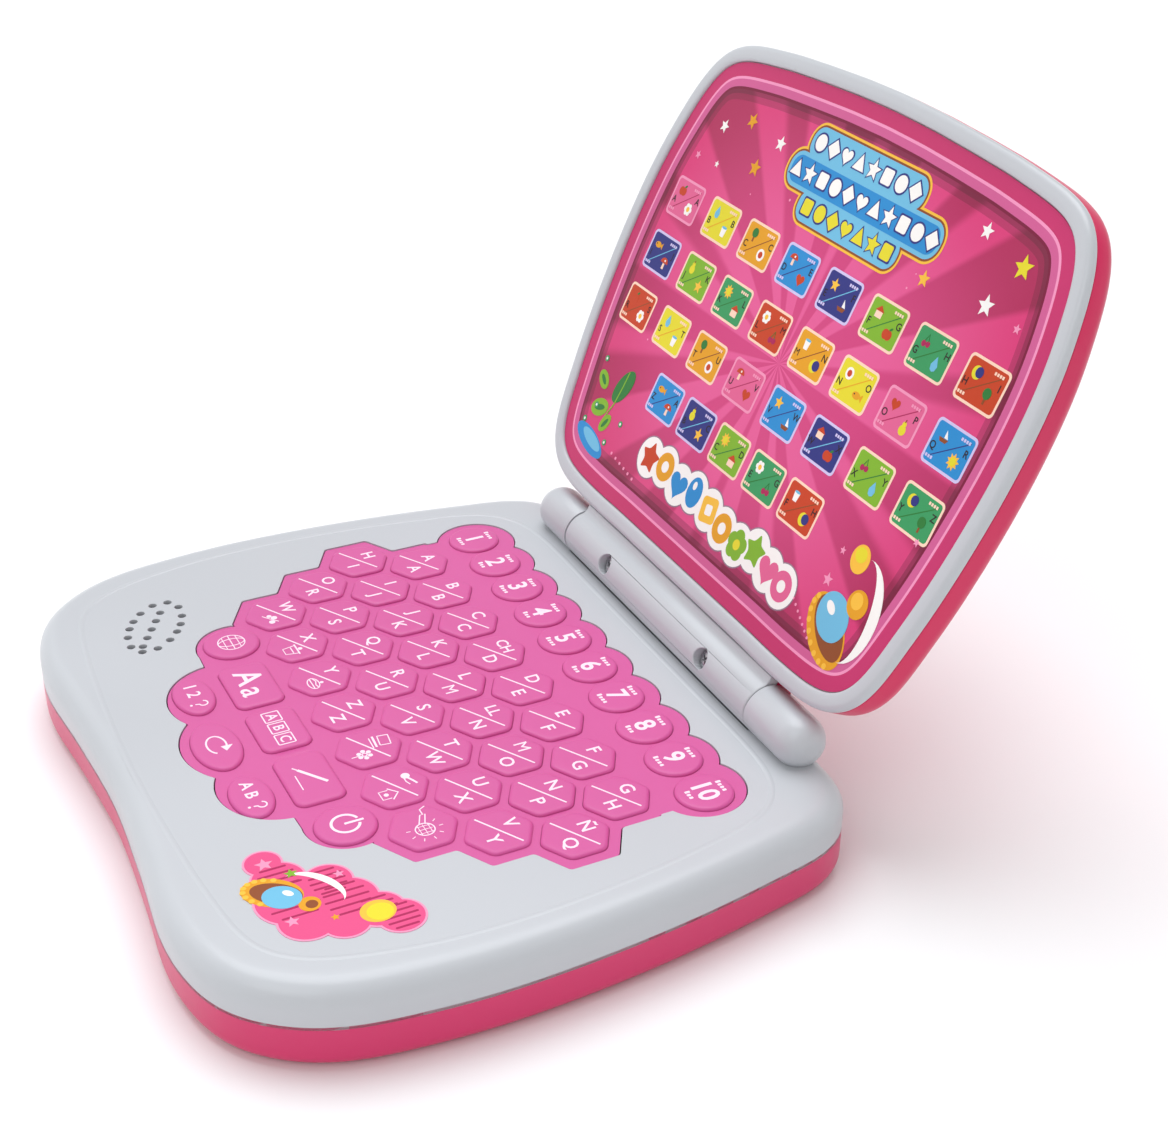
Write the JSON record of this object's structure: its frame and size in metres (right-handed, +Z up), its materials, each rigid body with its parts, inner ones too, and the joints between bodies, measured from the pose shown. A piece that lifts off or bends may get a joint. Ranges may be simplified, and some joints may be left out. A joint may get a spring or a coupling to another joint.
{
  "type": "toy laptop",
  "caption": "Children's toy laptop: wide keypad base with a speaker grille and a leaning picture lid on a barrel hinge, run on batteries.",
  "frame": {"origin": "on the table, under the middle of the base's flat underside", "axes": "+Z up out of the underside, +Y from the user towards the hinge, +X to the user's right along the hinge; the lid is stored open"},
  "size_m": [0.2172, 0.2416, 0.1744],
  "materials": {
    "white_plastic": "smooth moulded plastic with a soft sheen",
    "pink_plastic": "smooth moulded plastic with a soft sheen",
    "pink_silicone": "satin moulded silicone",
    "printed_panel": "glossy printed sheet",
    "sticker": "glossy printed sticker",
    "steel": "zinc-plated steel",
    "circuit_board": "green solder mask",
    "battery_wrap": "printed wrap",
    "speaker_black": "black paper and pressed steel",
    "wire_red": "insulated wire"
  },
  "bodies": {
    "base": {"base_top_shell": "white_plastic", "base_bottom_shell": "pink_plastic", "keypad_mat": "pink_silicone", "base_sticker": "sticker", "circuit_board": "circuit_board", "speaker": "speaker_black", "speaker_wire": "wire_red", "battery_1": "battery_wrap", "battery_2": "battery_wrap", "battery_3": "battery_wrap", "battery_contact_left": "steel", "battery_contact_right": "steel", "case_screw_1": "steel", "case_screw_2": "steel", "case_screw_3": "steel", "case_screw_4": "steel"},
    "lid": {"lid_back_shell": "pink_plastic", "lid_front_shell": "white_plastic", "lid_picture_panel": "printed_panel", "hinge_cover": "white_plastic", "hinge_screw_left": "steel", "hinge_screw_right": "steel"},
    "battery_door_set": {"battery_door": "pink_plastic", "battery_door_screw": "steel"},
    "key_number_01_body": {"key_number_01": "pink_silicone"},
    "key_number_02_body": {"key_number_02": "pink_silicone"},
    "key_number_03_body": {"key_number_03": "pink_silicone"},
    "key_number_04_body": {"key_number_04": "pink_silicone"},
    "key_number_05_body": {"key_number_05": "pink_silicone"},
    "key_number_06_body": {"key_number_06": "pink_silicone"},
    "key_number_07_body": {"key_number_07": "pink_silicone"},
    "key_number_08_body": {"key_number_08": "pink_silicone"},
    "key_number_09_body": {"key_number_09": "pink_silicone"},
    "key_number_10_body": {"key_number_10": "pink_silicone"},
    "key_a_body": {"key_a": "pink_silicone"},
    "key_b_body": {"key_b": "pink_silicone"},
    "key_c_body": {"key_c": "pink_silicone"},
    "key_d_body": {"key_d": "pink_silicone"},
    "key_e_body": {"key_e": "pink_silicone"},
    "key_f_body": {"key_f": "pink_silicone"},
    "key_g_body": {"key_g": "pink_silicone"},
    "key_h_body": {"key_h": "pink_silicone"},
    "key_i_body": {"key_i": "pink_silicone"},
    "key_j_body": {"key_j": "pink_silicone"},
    "key_k_body": {"key_k": "pink_silicone"},
    "key_l_body": {"key_l": "pink_silicone"},
    "key_m_body": {"key_m": "pink_silicone"},
    "key_n_body": {"key_n": "pink_silicone"},
    "key_o_body": {"key_o": "pink_silicone"},
    "key_p_body": {"key_p": "pink_silicone"},
    "key_q_body": {"key_q": "pink_silicone"},
    "key_language_body": {"key_language": "pink_silicone"},
    "key_letter_body": {"key_letter": "pink_silicone"},
    "key_word_body": {"key_word": "pink_silicone"},
    "key_spell_body": {"key_spell": "pink_silicone"},
    "key_power_body": {"key_power": "pink_silicone"},
    "key_number_quiz_body": {"key_number_quiz": "pink_silicone"},
    "key_repeat_body": {"key_repeat": "pink_silicone"},
    "key_letter_quiz_body": {"key_letter_quiz": "pink_silicone"}
  },
  "joints": [
    {"name": "lid_hinge", "type": "hinge", "parent": "base", "child": "lid", "pos_m": [0, 0.0817, 0.02935], "axis": [1, 0, 0], "range_deg": [0, 115.5]},
    {"name": "battery_door_out", "type": "slide", "parent": "base", "child": "battery_door_set", "axis": [0, 0, -1], "range_m": [0, 0.03]},
    {"name": "key_number_01_press", "type": "slide", "parent": "base", "child": "key_number_01_body", "axis": [0, 0, -1], "range_m": [0, 0.0009], "stiffness_N_per_m": 700},
    {"name": "key_number_02_press", "type": "slide", "parent": "base", "child": "key_number_02_body", "axis": [0, 0, -1], "range_m": [0, 0.0009], "stiffness_N_per_m": 700},
    {"name": "key_number_03_press", "type": "slide", "parent": "base", "child": "key_number_03_body", "axis": [0, 0, -1], "range_m": [0, 0.0009], "stiffness_N_per_m": 700},
    {"name": "key_number_04_press", "type": "slide", "parent": "base", "child": "key_number_04_body", "axis": [0, 0, -1], "range_m": [0, 0.0009], "stiffness_N_per_m": 700},
    {"name": "key_number_05_press", "type": "slide", "parent": "base", "child": "key_number_05_body", "axis": [0, 0, -1], "range_m": [0, 0.0009], "stiffness_N_per_m": 700},
    {"name": "key_number_06_press", "type": "slide", "parent": "base", "child": "key_number_06_body", "axis": [0, 0, -1], "range_m": [0, 0.0009], "stiffness_N_per_m": 700},
    {"name": "key_number_07_press", "type": "slide", "parent": "base", "child": "key_number_07_body", "axis": [0, 0, -1], "range_m": [0, 0.0009], "stiffness_N_per_m": 700},
    {"name": "key_number_08_press", "type": "slide", "parent": "base", "child": "key_number_08_body", "axis": [0, 0, -1], "range_m": [0, 0.0009], "stiffness_N_per_m": 700},
    {"name": "key_number_09_press", "type": "slide", "parent": "base", "child": "key_number_09_body", "axis": [0, 0, -1], "range_m": [0, 0.0009], "stiffness_N_per_m": 700},
    {"name": "key_number_10_press", "type": "slide", "parent": "base", "child": "key_number_10_body", "axis": [0, 0, -1], "range_m": [0, 0.0009], "stiffness_N_per_m": 700},
    {"name": "key_a_press", "type": "slide", "parent": "base", "child": "key_a_body", "axis": [0, 0, -1], "range_m": [0, 0.0009], "stiffness_N_per_m": 700},
    {"name": "key_b_press", "type": "slide", "parent": "base", "child": "key_b_body", "axis": [0, 0, -1], "range_m": [0, 0.0009], "stiffness_N_per_m": 700},
    {"name": "key_c_press", "type": "slide", "parent": "base", "child": "key_c_body", "axis": [0, 0, -1], "range_m": [0, 0.0009], "stiffness_N_per_m": 700},
    {"name": "key_d_press", "type": "slide", "parent": "base", "child": "key_d_body", "axis": [0, 0, -1], "range_m": [0, 0.0009], "stiffness_N_per_m": 700},
    {"name": "key_e_press", "type": "slide", "parent": "base", "child": "key_e_body", "axis": [0, 0, -1], "range_m": [0, 0.0009], "stiffness_N_per_m": 700},
    {"name": "key_f_press", "type": "slide", "parent": "base", "child": "key_f_body", "axis": [0, 0, -1], "range_m": [0, 0.0009], "stiffness_N_per_m": 700},
    {"name": "key_g_press", "type": "slide", "parent": "base", "child": "key_g_body", "axis": [0, 0, -1], "range_m": [0, 0.0009], "stiffness_N_per_m": 700},
    {"name": "key_h_press", "type": "slide", "parent": "base", "child": "key_h_body", "axis": [0, 0, -1], "range_m": [0, 0.0009], "stiffness_N_per_m": 700},
    {"name": "key_i_press", "type": "slide", "parent": "base", "child": "key_i_body", "axis": [0, 0, -1], "range_m": [0, 0.0009], "stiffness_N_per_m": 700},
    {"name": "key_j_press", "type": "slide", "parent": "base", "child": "key_j_body", "axis": [0, 0, -1], "range_m": [0, 0.0009], "stiffness_N_per_m": 700},
    {"name": "key_k_press", "type": "slide", "parent": "base", "child": "key_k_body", "axis": [0, 0, -1], "range_m": [0, 0.0009], "stiffness_N_per_m": 700},
    {"name": "key_l_press", "type": "slide", "parent": "base", "child": "key_l_body", "axis": [0, 0, -1], "range_m": [0, 0.0009], "stiffness_N_per_m": 700},
    {"name": "key_m_press", "type": "slide", "parent": "base", "child": "key_m_body", "axis": [0, 0, -1], "range_m": [0, 0.0009], "stiffness_N_per_m": 700},
    {"name": "key_n_press", "type": "slide", "parent": "base", "child": "key_n_body", "axis": [0, 0, -1], "range_m": [0, 0.0009], "stiffness_N_per_m": 700},
    {"name": "key_o_press", "type": "slide", "parent": "base", "child": "key_o_body", "axis": [0, 0, -1], "range_m": [0, 0.0009], "stiffness_N_per_m": 700},
    {"name": "key_p_press", "type": "slide", "parent": "base", "child": "key_p_body", "axis": [0, 0, -1], "range_m": [0, 0.0009], "stiffness_N_per_m": 700},
    {"name": "key_q_press", "type": "slide", "parent": "base", "child": "key_q_body", "axis": [0, 0, -1], "range_m": [0, 0.0009], "stiffness_N_per_m": 700},
    {"name": "key_language_press", "type": "slide", "parent": "base", "child": "key_language_body", "axis": [0, 0, -1], "range_m": [0, 0.0009], "stiffness_N_per_m": 700},
    {"name": "key_letter_press", "type": "slide", "parent": "base", "child": "key_letter_body", "axis": [0, 0, -1], "range_m": [0, 0.0009], "stiffness_N_per_m": 700},
    {"name": "key_word_press", "type": "slide", "parent": "base", "child": "key_word_body", "axis": [0, 0, -1], "range_m": [0, 0.0009], "stiffness_N_per_m": 700},
    {"name": "key_spell_press", "type": "slide", "parent": "base", "child": "key_spell_body", "axis": [0, 0, -1], "range_m": [0, 0.0009], "stiffness_N_per_m": 700},
    {"name": "key_power_press", "type": "slide", "parent": "base", "child": "key_power_body", "axis": [0, 0, -1], "range_m": [0, 0.0009], "stiffness_N_per_m": 700},
    {"name": "key_number_quiz_press", "type": "slide", "parent": "base", "child": "key_number_quiz_body", "axis": [0, 0, -1], "range_m": [0, 0.0009], "stiffness_N_per_m": 700},
    {"name": "key_repeat_press", "type": "slide", "parent": "base", "child": "key_repeat_body", "axis": [0, 0, -1], "range_m": [0, 0.0009], "stiffness_N_per_m": 700},
    {"name": "key_letter_quiz_press", "type": "slide", "parent": "base", "child": "key_letter_quiz_body", "axis": [0, 0, -1], "range_m": [0, 0.0009], "stiffness_N_per_m": 700}
  ]
}
